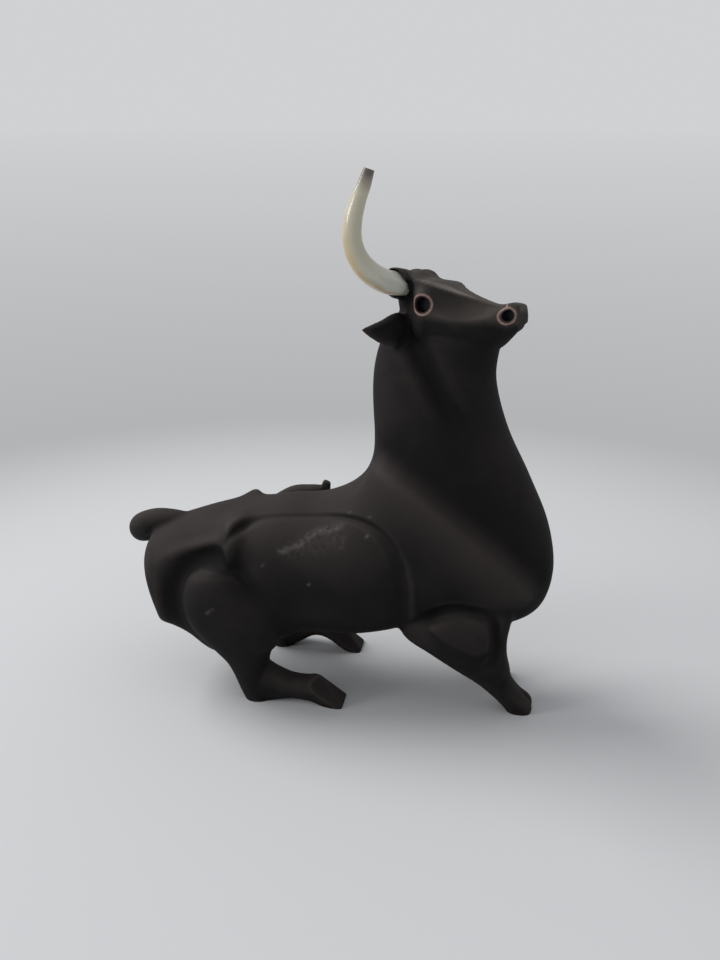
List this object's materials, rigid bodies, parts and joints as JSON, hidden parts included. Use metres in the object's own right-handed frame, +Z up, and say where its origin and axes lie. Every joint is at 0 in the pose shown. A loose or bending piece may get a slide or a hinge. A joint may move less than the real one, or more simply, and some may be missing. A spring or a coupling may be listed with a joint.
{
  "type": "ceramic bull figurine",
  "caption": "Crouching matte black ceramic bull, braced on straight forelegs with its head turned to its right; a white porcelain horn plugs into a socket beside the poll.",
  "frame": {"origin": "centre of the bounding box's underside, on the surface that the figurine stands on", "axes": "+X forward, the way the chest faces; +Y to the bull's left; +Z up"},
  "size_m": [0.2066, 0.0848, 0.2483],
  "materials": {
    "clay": "matte black slip, unglazed",
    "porcelain": "glossy cream-white glaze"
  },
  "bodies": {
    "figure": {"torso_casting": "clay", "neck_casting": "clay", "head_casting": "clay", "foreleg_right": "clay", "foreleg_left": "clay", "hind_leg_right": "clay", "hind_leg_left": "clay", "ear_right": "clay", "ear_left": "clay", "tail": "clay", "tail_tuft": "clay"},
    "horn": {"horn_right": "porcelain"}
  },
  "joints": [
    {"name": "horn_pull", "type": "slide", "parent": "figure", "child": "horn", "axis": [-0.334, -0.9177, 0.215], "range_m": [0, 0.0135]}
  ]
}
